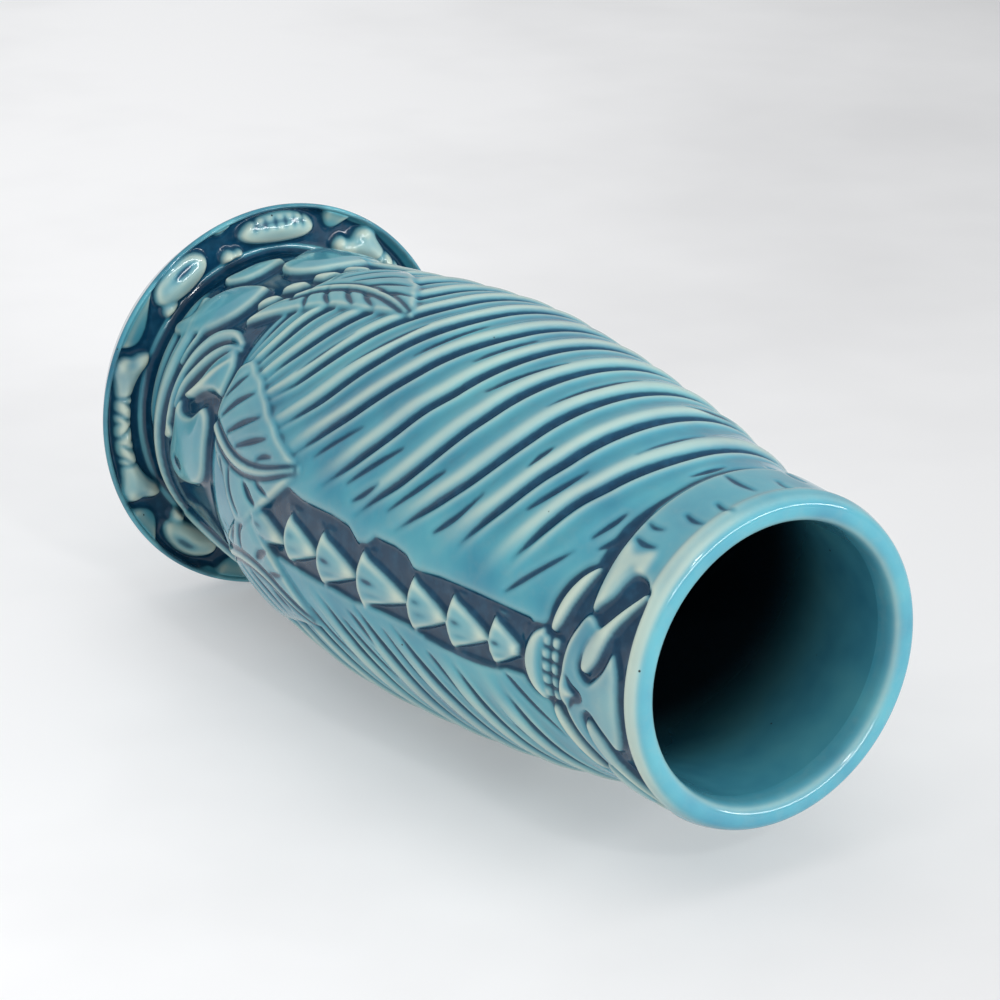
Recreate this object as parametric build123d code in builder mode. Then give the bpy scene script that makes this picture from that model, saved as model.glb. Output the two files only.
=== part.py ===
"""Tiki mug: a glazed slip-cast ceramic tumbler with carved strands, a mask at the rim and a
flared base ring of shells and bones. It stands on its base: +Z runs up to the mouth, the origin
is the centre of the base, and the mask faces -Y. All sizes are in millimetres."""

from build123d import *
from math import cos, radians, sin
import os

os.makedirs("parts", exist_ok=True)

# ---- Driving dimensions ---------------------------------------------------------------------

height = 165.0          # base to lip
lip_start = 160.0       # where the rolled lip begins
lip_outer = 28.0
lip_inner = 23.4

base_radius = 37.8      # widest point of the base ring, at its bead
foot_radius = 33.8      # the ring tapers in to this where it meets the table
base_core_radius = 28.0
channel_floor = 5.0     # height of the channel between base ring and neck
bead_height = 8.2
bead_inner_radius = 35.8
channel_middle = 32.2   # radius on which the shells and bones lie

# Outer wall, from the neck above the channel up to the lip: (height, radius)
wall_stations = [
    (channel_floor, 28.0),
    (36.0, 32.0),
    (58.0, 35.2),
    (76.0, 36.3),
    (104.0, 34.3),
    (126.0, 31.4),
    (146.0, 27.8),
    (lip_start, 27.2),
]

# Inside of the wall: (radius, height)
inside_stations = [
    (20.0, channel_floor),
    (24.4, 10.0),
    (28.0, 36.0),
    (31.2, 58.0),
    (32.3, 76.0),
    (30.3, 104.0),
    (27.4, 126.0),
    (23.9, 146.0),
    (lip_inner, lip_start),
]

# Carved strand grooves: height at the sides and back; each one drops towards the front
groove_heights = [78.0, 85.5, 94.0, 103.0, 112.5, 122.0, 132.0, 142.5]
groove_front_angle = 19.0
groove_side_angle = 100.0
groove_drop = 20.0
groove_radius = 1.1

# Sunken front panel with the column of pointed teeth: (height of base, length, half width)
panel_half_width = 6.0
panel_bottom = 66.0
panel_top = 137.0
panel_depth = 0.8
column_teeth = [
    (61.5, 11.0, 3.6),
    (73.3, 10.2, 4.7),
    (84.2, 10.6, 4.9),
    (95.5, 13.0, 4.9),
    (109.5, 9.2, 4.9),
    (119.5, 9.6, 4.8),
    (130.0, 6.5, 4.5),
]

# Relief pressed onto the wall
leaf_thickness = 1.3
rib_thickness = 0.6
petal_thickness = 1.6
band_thickness = 1.0
mask_thickness = 1.3
face_angle = 6.0        # the mask sits slightly to one side of the tooth column
mouth_angle = 3.5
band_bottom = 150.3
band_end_angle = 41.0

cowrie_angles = [-93, -53, 53, 93]
bone_angles = [2, 145, 215]
tongue_angles = [-113, -73, -33, 33, 73, 113, 180]
petal_angles = [-156, -124, -92, -60, 42, 74, 106, 138, 171]


# ---- Helpers --------------------------------------------------------------------------------

def wall_curve_points(extra):
    """Points of the outer wall curve, moved outward by extra."""
    return [(radius + extra, z) for z, radius in wall_stations]


def wall_radius(z):
    """Radius of the outer wall at height z, close enough to place things on it."""
    for (z0, r0), (z1, r1) in zip(wall_stations, wall_stations[1:]):
        if z <= z1:
            return r0 + (r1 - r0) * (z - z0) / (z1 - z0)
    return wall_stations[-1][1]


def radial_plane(angle, distance=0.0):
    """Sketch plane facing outward at this angle from the front: X is sideways, Y is height."""
    a = radians(angle)
    return Plane(
        origin=(sin(a) * distance, -cos(a) * distance, 0),
        x_dir=(cos(a), sin(a), 0),
        z_dir=(sin(a), -cos(a), 0),
    )


def section_plane(angle):
    """Plane through the mug's axis at this angle: X is radius, Y is height."""
    a = radians(angle)
    return Plane(origin=(0, 0, 0), x_dir=(sin(a), -cos(a), 0), z_dir=(-cos(a), -sin(a), 0))


def surface_point(angle, z, extra=0.0):
    a = radians(angle)
    r = wall_radius(z) + extra
    return (r * sin(a), -r * cos(a), z)


def skin_section(low, high):
    """Section of the layer between low and high above the outer wall."""
    with BuildSketch(Plane.XZ) as section:
        with BuildLine():
            inner = Spline(*wall_curve_points(low))
            outer = Spline(*wall_curve_points(high))
            Line(inner @ 0, outer @ 0)
            Line(inner @ 1, outer @ 1)
        make_face()
    return section.sketch


def core_section(extra):
    """Section of everything inside the outer wall, moved outward by extra."""
    with BuildSketch(Plane.XZ) as section:
        with BuildLine():
            outer = Spline(*wall_curve_points(extra))
            Line(outer @ 1, (0, lip_start))
            Line((0, lip_start), (0, channel_floor))
            Line((0, channel_floor), outer @ 0)
        make_face()
    return section.sketch


def leaf_points(side, tip_height, base_height, half_width, lean):
    """One edge of a pointed leaf whose tip leans sideways."""
    span = tip_height - base_height
    return [
        (0, base_height),
        (side * half_width, base_height + 0.38 * span),
        (lean * 0.8 + side * 0.52 * half_width, base_height + 0.72 * span),
        (lean, tip_height),
    ]


def leaf_blades(placements):
    """Flat blades of pointed leaves: (angle, tip height, base height, half width, lean)."""
    with BuildPart() as blades:
        for angle, tip_height, base_height, half_width, lean in placements:
            with BuildSketch(radial_plane(angle, 18)):
                with BuildLine():
                    Spline(*leaf_points(-1, tip_height, base_height, half_width, lean))
                    Spline(*leaf_points(1, tip_height, base_height, half_width, lean))
                make_face()
            extrude(amount=24)
        revolve(skin_section(0, leaf_thickness), axis=Axis.Z, mode=Mode.INTERSECT)
    return blades.part


def leaf_ribs(placements):
    """Midrib and side veins that stand on the blades."""
    with BuildPart() as ribs:
        for angle, tip_height, base_height, half_width, lean in placements:
            span = tip_height - base_height
            with BuildSketch(radial_plane(angle, 18)):
                with BuildLine():
                    Spline(
                        (-0.7, base_height + 2),
                        (lean * 0.3 - 0.6, base_height + 0.5 * span),
                        (lean * 0.94, tip_height - 2.5),
                    )
                    Spline(
                        (0.7, base_height + 2),
                        (lean * 0.3 + 0.6, base_height + 0.5 * span),
                        (lean * 0.94, tip_height - 2.5),
                    )
                    Line((-0.7, base_height + 2), (0.7, base_height + 2))
                make_face()
                for side in (-1, 1):
                    for step in (0.26, 0.42, 0.58):
                        root = (lean * step * 0.6 + side * half_width * 0.30, base_height + span * (step + 0.07))
                        with Locations(root):
                            Rectangle(half_width * (0.85 - step * 0.6), 1.0, rotation=side * 35)
            extrude(amount=24)
        revolve(
            skin_section(leaf_thickness, leaf_thickness + rib_thickness),
            axis=Axis.Z,
            mode=Mode.INTERSECT,
        )
    return ribs.part


# ---- Base: closed disc and flared ring --------------------------------------------------------

with BuildPart() as base_disc:
    Cylinder(base_core_radius, channel_floor, align=(Align.CENTER, Align.CENTER, Align.MIN))

with BuildPart() as base_ring:
    with BuildSketch(Plane.XZ):
        with BuildLine():
            Polyline(
                (bead_inner_radius, bead_height - 0.6),
                (bead_inner_radius, channel_floor),
                (base_core_radius, channel_floor),
                (base_core_radius, 0),
                (foot_radius, 0),
            )
            ThreePointArc((foot_radius, 0), (base_radius - 1.6, 3.1), (base_radius, bead_height - 1.4))
            ThreePointArc(
                (base_radius, bead_height - 1.4),
                (base_radius - 0.8, bead_height),
                (bead_inner_radius, bead_height - 0.6),
            )
        make_face()
    revolve(axis=Axis.Z)

# Tongues of the bead that reach into the channel between the shells and bones
with BuildPart() as bead_tongues:
    for angle in tongue_angles:
        with BuildSketch(radial_plane(angle, 24)):
            with Locations((0, channel_floor + 1.0)):
                Rectangle(5.4, 2.0)
        extrude(amount=16)
    with BuildSketch(Plane.XY.offset(channel_floor)):
        Circle(bead_inner_radius)
        for angle in tongue_angles:
            a = radians(angle)
            with Locations((29.0 * sin(a), -29.0 * cos(a))):
                Circle(2.2, mode=Mode.SUBTRACT)
        Circle(31.2, mode=Mode.SUBTRACT)
    extrude(amount=3, mode=Mode.INTERSECT)

# ---- Mug wall: hollow body with the carved strands --------------------------------------------

with BuildPart() as panel_recess:
    with BuildSketch(radial_plane(0, 18)):
        with Locations((0, (panel_bottom + panel_top) / 2)):
            Rectangle(2 * panel_half_width, panel_top - panel_bottom)
    extrude(amount=24)
    revolve(skin_section(-panel_depth, 3), axis=Axis.Z, mode=Mode.INTERSECT)

with BuildPart() as mug_wall:
    with BuildSketch(Plane.XZ):
        with BuildLine():
            outside = Spline(*wall_curve_points(0))
            inside = Spline(*inside_stations)
            Line(outside @ 0, inside @ 0)
            Line(outside @ 1, inside @ 1)
        make_face()
    revolve(axis=Axis.Z)
    add(panel_recess.part, mode=Mode.SUBTRACT)

    for number, side_height in enumerate(groove_heights):
        sharpness = 2.2 + 0.1 * number
        steps = 28
        groove_points = []
        for step in range(steps + 1):
            angle = groove_front_angle + (360 - 2 * groove_front_angle) * step / steps
            from_front = min(angle, 360 - angle)
            travel = (groove_side_angle - from_front) / (groove_side_angle - groove_front_angle)
            drop = groove_drop * max(0.0, travel) ** sharpness
            groove_points.append(surface_point(angle, side_height - drop, 0.3))
        with BuildLine() as groove_path:
            Spline(*groove_points)
        with BuildSketch(Plane(origin=groove_path.line @ 0, z_dir=groove_path.line % 0)):
            Circle(groove_radius)
        sweep(path=groove_path.line, mode=Mode.SUBTRACT)

# ---- Rolled lip and head band -------------------------------------------------------------------

with BuildPart() as rim_lip:
    with BuildSketch(Plane.XZ):
        with BuildLine():
            Spline(
                (lip_inner, lip_start),
                (lip_inner + 0.5, height - 1.4),
                ((lip_inner + lip_outer) / 2, height),
                (lip_outer - 0.5, height - 1.6),
                (lip_outer, lip_start + 1.4),
                (lip_outer - 0.7, lip_start),
            )
            Line((lip_outer - 0.7, lip_start), (lip_inner, lip_start))
        make_face()
    revolve(axis=Axis.Z)

with BuildPart() as head_band:
    with BuildSketch(section_plane(band_end_angle)):
        with BuildLine():
            Polyline(
                (wall_radius(lip_start) - 2, lip_start),
                (wall_radius(lip_start) + band_thickness - 0.4, lip_start),
                (wall_radius(lip_start) + band_thickness, lip_start - 1.2),
                (wall_radius(band_bottom) + band_thickness, band_bottom + 0.8),
                (wall_radius(band_bottom) + band_thickness - 0.5, band_bottom),
                (wall_radius(band_bottom) - 2, band_bottom),
                close=True,
            )
        make_face()
    revolve(axis=Axis.Z, revolution_arc=360 - 2 * band_end_angle)
    revolve(core_section(0), axis=Axis.Z, mode=Mode.SUBTRACT)
    for tick in range(16):
        with BuildSketch(radial_plane(-52 - 17 * tick, wall_radius(155) + 0.5)):
            with Locations((0, 153.2 + 4.2 * (tick % 2))):
                Rectangle(0.9, 3.4, rotation=8)
        extrude(amount=2, mode=Mode.SUBTRACT)

# ---- Mask -------------------------------------------------------------------------------------------

with BuildPart() as mask_plate:
    with BuildSketch(radial_plane(face_angle, 12)):
        with BuildLine():
            Spline((-15, 151.4), (-8, 148.0), (0, 146.4), (8, 148.0), (15, 151.4))
            Polyline((15, 151.4), (14, 159.8), (-14, 159.8), (-15, 151.4))
        make_face()
    extrude(amount=24)
    revolve(skin_section(0, mask_thickness), axis=Axis.Z, mode=Mode.INTERSECT)

with BuildPart() as mask_eyes:
    with BuildSketch(radial_plane(face_angle, 12)):
        for side in (-1, 1):
            with Locations((side * 5.8, 152.8)):
                Ellipse(3.1, 1.7, rotation=side * 18)
    extrude(amount=24)
    revolve(skin_section(mask_thickness, mask_thickness + 0.9), axis=Axis.Z, mode=Mode.INTERSECT)

with BuildPart() as mask_brows:
    with BuildSketch(radial_plane(face_angle, 12)):
        for side in (-1, 1):
            with Locations((side * 8.4, 157.0)):
                Ellipse(5.6, 1.1, rotation=side * 24)
    extrude(amount=24)
    revolve(skin_section(mask_thickness, mask_thickness + 0.7), axis=Axis.Z, mode=Mode.INTERSECT)

with BuildPart() as mask_nose:
    with BuildSketch(radial_plane(face_angle, 12)):
        with BuildLine():
            Polyline((-2.6, 147.4), (2.6, 147.4), (0, 151.0), (-2.6, 147.4))
        make_face()
    extrude(amount=24)
    revolve(skin_section(mask_thickness, mask_thickness + 1.1), axis=Axis.Z, mode=Mode.INTERSECT)

with BuildPart() as mouth_teeth:
    with BuildSketch(radial_plane(mouth_angle, 12)):
        with Locations((0, 142.9)):
            with GridLocations(2.05, 1.9, 5, 2):
                RectangleRounded(1.75, 1.6, 0.35)
    extrude(amount=24)
    revolve(skin_section(0, 1.4), axis=Axis.Z, mode=Mode.INTERSECT)

with BuildPart() as lower_lip:
    with BuildSketch(radial_plane(mouth_angle, 12)):
        with BuildLine():
            Spline((-6.2, 140.9), (-4.0, 138.4), (0, 137.4), (4.0, 138.4), (6.2, 140.9))
            Line((6.2, 140.9), (-6.2, 140.9))
        make_face()
    extrude(amount=24)
    revolve(skin_section(0, 1.5), axis=Axis.Z, mode=Mode.INTERSECT)

with BuildPart() as cheek_crescents:
    with BuildSketch(radial_plane(mouth_angle, 12)):
        for side in (-1, 1):
            with BuildLine():
                Spline((side * 6.0, 143.8), (side * 12.0, 145.2), (side * 17.5, 148.4))
                Spline((side * 6.0, 142.0), (side * 13.0, 143.6), (side * 17.5, 148.4))
                Line((side * 6.0, 143.8), (side * 6.0, 142.0))
            make_face()
    extrude(amount=24)
    revolve(skin_section(0, 1.5), axis=Axis.Z, mode=Mode.INTERSECT)

# ---- Leaves and petals round the lower wall -------------------------------------------------------------

front_leaf_places = [(-17, 75.0, 41.0, 10.6, -1.4), (22, 77.0, 41.0, 10.6, 1.0)]
side_leaf_places = [(-76, 72.5, 34.0, 13.0, 2.0), (76, 72.5, 34.0, 13.0, -2.0)]
back_leaf_places = [(-128, 73.0, 34.0, 13.0, 1.0), (128, 73.0, 34.0, 13.0, -1.0), (180, 71.0, 34.0, 12.0, 0.0)]

with BuildPart() as front_leaves:
    add(leaf_blades(front_leaf_places))
    add(leaf_ribs(front_leaf_places))

with BuildPart() as side_leaves:
    add(leaf_blades(side_leaf_places))
    add(leaf_ribs(side_leaf_places))

with BuildPart() as back_leaves:
    add(leaf_blades(back_leaf_places))
    add(leaf_ribs(back_leaf_places))

with BuildPart() as petals:
    for angle in petal_angles:
        with BuildSketch(radial_plane(angle, 18)):
            with BuildLine():
                Spline((-4.2, 9.5), (-6.6, 18.0), (-4.6, 25.5), (0, 28.5), (4.6, 25.5), (6.6, 18.0), (4.2, 9.5))
                Line((4.2, 9.5), (-4.2, 9.5))
            make_face()
        extrude(amount=24)
    revolve(skin_section(0, petal_thickness), axis=Axis.Z, mode=Mode.INTERSECT)

with BuildPart() as bird_head:
    with BuildSketch(radial_plane(-3, 18)):
        with BuildLine():
            Spline((-7.0, 34.5), (0, 37.2), (6.0, 34.0), (8.2, 26.0), (6.0, 19.0), (0, 17.4), (-6.6, 20.4))
            Spline((-6.6, 20.4), (-4.6, 24.0), (-5.2, 28.0), (-8.6, 31.6), (-7.0, 34.5))
        make_face()
    extrude(amount=24)
    revolve(skin_section(0, 2.0), axis=Axis.Z, mode=Mode.INTERSECT)

with BuildPart() as bird_eye:
    with BuildSketch(radial_plane(6, 18)):
        with Locations((0, 22.6)):
            Circle(1.3)
    extrude(amount=24)
    revolve(skin_section(2.0, 2.6), axis=Axis.Z, mode=Mode.INTERSECT)

with BuildPart() as curled_crest:
    with BuildSketch(radial_plane(-30, 18)):
        with BuildLine():
            Spline((-6.6, 38.0), (-5.0, 27.0), (1.0, 20.2), (9.6, 15.4), (18.0, 14.6))
            Spline((18.0, 14.6), (9.0, 12.0), (-2.0, 15.0), (-9.4, 24.0), (-9.8, 34.0), (-6.6, 38.0))
        make_face()
    extrude(amount=24)
    revolve(skin_section(0, 1.6), axis=Axis.Z, mode=Mode.INTERSECT)

with BuildPart() as crest_tip:
    with BuildSketch(radial_plane(-30, 18)):
        with BuildLine():
            Spline((-3.6, 37.0), (2.4, 36.4), (3.8, 29.0), (7.6, 24.0))
            Spline((7.6, 24.0), (2.6, 23.6), (-2.6, 29.0), (-3.6, 37.0))
        make_face()
    extrude(amount=24)
    revolve(skin_section(0, 1.8), axis=Axis.Z, mode=Mode.INTERSECT)

# ---- Column of pointed teeth on the front ----------------------------------------------------------------

with BuildPart() as column_of_teeth:
    for tooth_base, tooth_length, half_width in column_teeth:
        r = wall_radius(tooth_base)
        tip = tooth_base + tooth_length
        with BuildSketch(Plane.YZ):
            with BuildLine():
                Polyline(
                    (2 - r, tooth_base),
                    (-r - 1.5, tooth_base),
                    (-wall_radius(tip) - 0.1, tip),
                    (2 - r, tip),
                    close=True,
                )
            make_face()
        extrude(amount=half_width, both=True)
    with BuildSketch(radial_plane(0, 18)):
        for tooth_base, tooth_length, half_width in column_teeth:
            with BuildLine():
                Polyline(
                    (-half_width, tooth_base),
                    (half_width, tooth_base),
                    (half_width * 0.2, tooth_base + tooth_length),
                    (-half_width * 0.2, tooth_base + tooth_length),
                    close=True,
                )
            make_face()
    extrude(amount=24, mode=Mode.INTERSECT)
    revolve(core_section(-panel_depth), axis=Axis.Z, mode=Mode.SUBTRACT)
    add(mug_wall.part, mode=Mode.SUBTRACT)
    add(front_leaves.part, mode=Mode.SUBTRACT)

# ---- Shells and bones in the channel of the base ring ------------------------------------------------------

with BuildPart() as one_cowrie:
    with BuildSketch(radial_plane(0, channel_middle)):
        with Locations((0, channel_floor + 0.4)):
            Ellipse(7.2, 3.3)
            with Locations((0, -3)):
                Rectangle(16, 6, mode=Mode.SUBTRACT)
    revolve(axis=Axis((0, -channel_middle, channel_floor + 0.4), (1, 0, 0)))
    with BuildSketch(Plane.XY.offset(channel_floor)):
        Rectangle(100, 100)
    extrude(amount=-5, mode=Mode.SUBTRACT)
    with BuildSketch(Plane.XY.offset(channel_floor + 2.5)):
        with Locations((0, -channel_middle - 0.8)):
            SlotOverall(9.5, 0.7)
            with GridLocations(1.5, 0, 6, 1):
                Rectangle(0.5, 2.2)
    extrude(amount=3, mode=Mode.SUBTRACT)

with BuildPart() as cowrie_shells:
    for angle in cowrie_angles:
        with Locations(Location((0, 0, 0), (0, 0, angle))):
            add(one_cowrie.part)

shaft_radius = 1.7
shaft_arc = 40.0
wrap_count = 5
wrap_arc = 3.6
wrap_pitch = 4.4

with BuildPart() as one_bone:
    with BuildSketch(section_plane(-shaft_arc / 2)):
        with Locations((channel_middle, channel_floor + 1.5)):
            Circle(shaft_radius)
    revolve(axis=Axis.Z, revolution_arc=shaft_arc)
    for side in (-1, 1):
        for spread, radius in ((-1.2, 1.9), (1.2, 1.9)):
            a = radians(side * (shaft_arc / 2 + 2.0))
            r = channel_middle + spread
            with Locations((r * sin(a), -r * cos(a), channel_floor + 1.4)):
                Sphere(radius)
    with BuildSketch(Plane.XY.offset(channel_floor)):
        Rectangle(100, 100)
    extrude(amount=-5, mode=Mode.SUBTRACT)

with BuildPart() as bones:
    for angle in bone_angles:
        with Locations(Location((0, 0, 0), (0, 0, angle))):
            add(one_bone.part)

with BuildPart() as bone_lashings:
    for angle in bone_angles:
        for wrap in range(wrap_count):
            start = angle + (wrap - (wrap_count - 1) / 2) * wrap_pitch - wrap_arc / 2
            with BuildSketch(section_plane(start)):
                with Locations((channel_middle, channel_floor + 1.5)):
                    Circle(shaft_radius + 0.8)
                    Circle(shaft_radius, mode=Mode.SUBTRACT)
            revolve(axis=Axis.Z, revolution_arc=wrap_arc)
    with BuildSketch(Plane.XY.offset(channel_floor)):
        Rectangle(100, 100)
    extrude(amount=-5, mode=Mode.SUBTRACT)

# ---- Labels and files -----------------------------------------------------------------------------------------

pieces = {
    "mug_wall": mug_wall,
    "base_disc": base_disc,
    "base_ring": base_ring,
    "bead_tongues": bead_tongues,
    "rim_lip": rim_lip,
    "head_band": head_band,
    "mask_plate": mask_plate,
    "mask_eyes": mask_eyes,
    "mask_brows": mask_brows,
    "mask_nose": mask_nose,
    "mouth_teeth": mouth_teeth,
    "lower_lip": lower_lip,
    "cheek_crescents": cheek_crescents,
    "column_of_teeth": column_of_teeth,
    "front_leaves": front_leaves,
    "side_leaves": side_leaves,
    "back_leaves": back_leaves,
    "petals": petals,
    "bird_head": bird_head,
    "bird_eye": bird_eye,
    "curled_crest": curled_crest,
    "crest_tip": crest_tip,
    "cowrie_shells": cowrie_shells,
    "bones": bones,
    "bone_lashings": bone_lashings,
}

for name, piece in pieces.items():
    piece.part.label = name
    export_step(piece.part, f"parts/{name}.step")
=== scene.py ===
"""Looks of the tiki mug: modelled relief, glaze, floor, lights and camera."""
import math

import bpy
import numpy as np
from mathutils import Matrix, Vector


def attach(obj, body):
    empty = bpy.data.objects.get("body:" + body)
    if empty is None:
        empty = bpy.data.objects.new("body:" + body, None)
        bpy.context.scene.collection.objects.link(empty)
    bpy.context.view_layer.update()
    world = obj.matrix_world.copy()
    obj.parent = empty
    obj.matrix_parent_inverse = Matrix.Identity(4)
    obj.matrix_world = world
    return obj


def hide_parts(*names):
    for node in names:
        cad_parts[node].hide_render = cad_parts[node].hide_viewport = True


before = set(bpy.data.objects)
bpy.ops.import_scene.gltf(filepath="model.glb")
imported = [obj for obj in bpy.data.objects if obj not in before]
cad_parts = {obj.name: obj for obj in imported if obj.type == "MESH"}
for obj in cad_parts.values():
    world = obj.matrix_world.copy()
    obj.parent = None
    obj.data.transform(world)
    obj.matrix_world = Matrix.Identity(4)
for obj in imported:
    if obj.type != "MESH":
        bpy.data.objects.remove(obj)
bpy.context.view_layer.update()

MM = 0.001

# ---- sizes, in millimetres
FLOOR_LEVEL = 5.0   # floor of the channel and of the inside
GROOVE_HALF = 0.95  # half width of a groove between two strands
GROOVE_DEPTH = 0.65
CREST = 0.75        # height of a strand's crest
BAND_LOW = 150.0    # lower edge of the head band
BAND_HEIGHT = 0.8
TOOTH_PITCH = 4.5   # degrees between the mask's teeth
MOUTH_MIDDLE = 3.2
MASK_TURN = 3       # angle that the mask's own coordinates are counted from
MASK_MIDDLE = 7     # angle of the mask's middle line

# The mug lies on its side: its +X side is down on the floor. The camera, in metres and the mug's own frame:
CAMERA = Vector((-0.2109, -0.3051, 0.5499))
RIGHT = Vector((-0.0022, 0.8366, 0.5479))
DOWN = Vector((0.9366, -0.1903, 0.2943))
FORWARD = Vector((0.3505, 0.5138, -0.7831))
LENS = 122.4
UP = Vector((-1.0, 0.0, 0.0))             # away from the floor
AWAY = Vector((0.0, 0.5485, -0.8361))     # along the floor, away from the camera
TARGET = Vector((0.0, 0.0, 0.09))         # what the lamps point at
FLOOR_GAP = 0.0002
SHEET_HALF = 1.6

# Outside and inside of the wall: (height, radius)
WALL = [(5, 28), (36, 32), (58, 35.2), (76, 36.3), (104, 34.3), (126, 31.4), (146, 27.8), (160, 27.2)]
INSIDE = [(5, 20), (10, 24.4), (36, 28), (58, 31.2), (76, 32.3), (104, 30.3), (126, 27.4), (146, 23.9),
          (160, 23.4)]


# ---- small numeric helpers
def smooth(x, lo, hi):
    """0 below lo, 1 above hi, with a soft step between."""
    t = np.clip((x - lo) / (hi - lo), 0.0, 1.0)
    return t * t * (3 - 2 * t)


def spline(points, x):
    """Smooth curve through (x, y) points (monotone Hermite)."""
    px = np.array([p[0] for p in points], float)
    py = np.array([p[1] for p in points], float)
    d = np.diff(py) / np.diff(px)
    m = np.zeros_like(py)
    m[0], m[-1] = d[0], d[-1]
    for i in range(1, len(py) - 1):
        m[i] = 0.0 if d[i - 1] * d[i] <= 0 else 2 * d[i - 1] * d[i] / (d[i - 1] + d[i])
    x = np.clip(x, px[0], px[-1])
    i = np.clip(np.searchsorted(px, x, side="right") - 1, 0, len(px) - 2)
    h = px[i + 1] - px[i]
    t = (x - px[i]) / h
    return ((2 * t**3 - 3 * t**2 + 1) * py[i] + (t**3 - 2 * t**2 + t) * h * m[i]
            + (3 * t**2 - 2 * t**3) * py[i + 1] + (t**3 - t**2) * h * m[i + 1])


def rounded(points, closed=True, per=6):
    """Catmull-Rom curve through given points."""
    p = np.array(points, float)
    n = len(p)
    out = []
    for i in range(n if closed else n - 1):
        a, b, c, d = (p[(i - 1) % n], p[i], p[(i + 1) % n], p[(i + 2) % n])
        if not closed:
            a = p[max(i - 1, 0)]
            d = p[min(i + 2, n - 1)]
        for t in np.arange(per) / per:
            out.append(0.5 * (2 * b + (c - a) * t + (2 * a - 5 * b + 4 * c - d) * t**2
                              + (3 * b - a - 3 * c + d) * t**3))
    if not closed:
        out.append(p[-1])
    return np.array(out)


# ---- the outer surface as one grid
COLS = 720   # columns round the mug, half a degree apart
STEP = 0.33  # distance between rows
ANGLE = -180.0 + 360.0 / COLS * np.arange(COLS)


def outer_profile():
    """Rows of (radius, height) from the foot edge, over the bead, through the channel, up to the lip."""
    path = [(33.7, 0.0), (34.4, 0.7), (35.3, 2.3), (36.2, 4.0), (37.1, 5.7), (37.65, 6.7), (37.85, 7.2),
            (37.8, 7.7), (37.5, 8.0), (37.15, 7.85), (36.85, 7.2), (36.5, 6.3), (35.9, 5.4), (35.0, 5.0),
            (33.0, 5.0), (31.0, 5.0), (29.5, 5.1), (28.8, 5.6)]
    for z in np.arange(7.0, 160.1, 3.0):
        path.append((float(spline(WALL, z)), z))
    path += [(27.35, 161.0), (27.95, 162.0), (28.0, 163.0), (27.6, 164.1), (26.8, 164.8), (25.8, 165.0),
             (24.8, 164.85), (24.0, 164.2), (23.55, 163.0), (23.4, 161.5), (23.35, 160.0)]
    p = rounded(path, closed=False, per=12)
    s = np.concatenate([[0], np.cumsum(np.hypot(*np.diff(p, axis=0).T))])
    q = np.arange(0, s[-1], STEP)
    return np.stack([np.interp(q, s, p[:, 0]), np.interp(q, s, p[:, 1])], 1)


PROFILE = outer_profile()
ROWS = len(PROFILE)
tangent = np.gradient(PROFILE, axis=0)
tangent /= np.linalg.norm(tangent, axis=1)[:, None]
NORMAL_R, NORMAL_Z = tangent[:, 1], -tangent[:, 0]
row_r = PROFILE[:, 0]
row_z = PROFILE[:, 1]
row_s = np.concatenate([[0], np.cumsum(np.hypot(*np.diff(PROFILE, axis=0).T))])
bead_row = int(np.argmax(row_z[:60]))
wall_row = int(np.argmax((row_r < 29.4) & (np.arange(ROWS) > bead_row)))
lip_row = int(np.argmax(row_z > 163.4))

# For each cell of the grid: its angle, row, radius and height
TURN, ROW = np.meshgrid(ANGLE, np.arange(ROWS))
RADIUS = row_r[ROW]
HEIGHT = row_z[ROW].astype(float)
on_wall = (ROW >= wall_row) & (ROW <= lip_row)
in_channel = ROW < wall_row
# Fields on the grid: height along the normal, height of the ornaments above the channel's floor,
# where the glaze pools dark (with painted shade added on the base bead's outer flank), and where it runs thin
# and pale
RELIEF, CHANNEL, POOL_AND_SHADE, PALE = np.zeros((4, ROWS, COLS))
FAR, TINY = 1e9, 1e-9


def wrap(angle):
    """The same angle between -180 and 180."""
    return (angle + 180.0) % 360.0 - 180.0


def bell(x, middle, width):
    """1 at the middle, fading to 0 on both sides."""
    return np.exp(-(((x - middle) / width) ** 2))


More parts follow.
